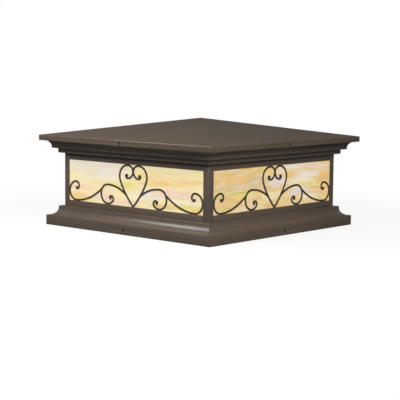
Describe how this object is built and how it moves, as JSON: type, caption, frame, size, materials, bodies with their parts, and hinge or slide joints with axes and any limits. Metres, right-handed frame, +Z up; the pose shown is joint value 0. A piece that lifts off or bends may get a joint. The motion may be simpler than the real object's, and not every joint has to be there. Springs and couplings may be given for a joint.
{
  "type": "pier mount light",
  "caption": "Low square light that covers a masonry pier: moulded base, four art-glass panels with scroll overlays, moulded crown and a lift-off hipped roof over lamps.",
  "frame": {"origin": "centre of the underside, on the pier's top", "axes": "+Z up, front glass panel faces -Y, +X to the right of the front"},
  "size_m": [0.6382, 0.6382, 0.3013],
  "materials": {
    "bronze": "satin powder coat",
    "dark_screws": "black oxide",
    "art_glass": "streaky opalescent art glass",
    "porcelain": "glazed porcelain",
    "lamp_brass": "bright",
    "lamp_glass": "frosted",
    "lead_black": "insulated lead",
    "lead_white": "insulated lead",
    "lead_green": "insulated lead",
    "green_screw": "green plating",
    "connector_red": "moulded",
    "rubber": "matt",
    "galvanised": "galvanised",
    "zinc": "zinc plated"
  },
  "bodies": {
    "bracket": {"pier_bracket": "galvanised"},
    "lantern": {"roof_gasket": "rubber", "crown_front": "bronze", "crown_right": "bronze", "crown_rear": "bronze", "crown_left": "bronze", "post_front_left": "bronze", "post_front_right": "bronze", "post_rear_right": "bronze", "post_rear_left": "bronze", "top_rail_front": "bronze", "top_rail_right": "bronze", "top_rail_rear": "bronze", "top_rail_left": "bronze", "bottom_rail_front": "bronze", "bottom_rail_right": "bronze", "bottom_rail_rear": "bronze", "bottom_rail_left": "bronze", "glass_front": "art_glass", "glass_right": "art_glass", "glass_rear": "art_glass", "glass_left": "art_glass", "scroll_front": "bronze", "scroll_right": "bronze", "scroll_rear": "bronze", "scroll_left": "bronze", "upper_glass_clips": "zinc", "lower_glass_clips": "zinc", "clip_screws": "zinc", "base_front": "bronze", "base_right": "bronze", "base_rear": "bronze", "base_left": "bronze", "skirt_screws": "dark_screws", "skirt_weld_nuts": "zinc", "lamp_pan": "zinc", "pan_screws": "zinc", "wire_grommet": "rubber", "lampholders": "porcelain", "lampholder_screws": "zinc", "terminal_block": "porcelain", "line_leads": "lead_black", "neutral_leads": "lead_white", "earth_lead": "lead_green", "earth_screw": "green_screw", "wire_connectors": "connector_red"},
    "roof": {"roof_cap": "bronze", "roof_screws": "dark_screws", "roof_weld_nuts": "zinc"},
    "lamp_1": {"lamp_1_cap": "lamp_brass", "lamp_1_globe": "lamp_glass"},
    "lamp_2": {"lamp_2_cap": "lamp_brass", "lamp_2_globe": "lamp_glass"},
    "lamp_3": {"lamp_3_cap": "lamp_brass", "lamp_3_globe": "lamp_glass"},
    "lamp_4": {"lamp_4_cap": "lamp_brass", "lamp_4_globe": "lamp_glass"}
  },
  "joints": [
    {"name": "lantern_lift", "type": "slide", "parent": "bracket", "child": "lantern", "axis": [0, 0, 1], "range_m": [0, 0.1]},
    {"name": "roof_lift", "type": "slide", "parent": "lantern", "child": "roof", "axis": [0, 0, 1], "range_m": [0, 0.1]},
    {"name": "lamp_1_out", "type": "slide", "parent": "lantern", "child": "lamp_1", "axis": [0, 0, 1], "range_m": [0, 0.035]},
    {"name": "lamp_2_out", "type": "slide", "parent": "lantern", "child": "lamp_2", "axis": [0, 0, 1], "range_m": [0, 0.035]},
    {"name": "lamp_3_out", "type": "slide", "parent": "lantern", "child": "lamp_3", "axis": [0, 0, 1], "range_m": [0, 0.035]},
    {"name": "lamp_4_out", "type": "slide", "parent": "lantern", "child": "lamp_4", "axis": [0, 0, 1], "range_m": [0, 0.035]}
  ]
}
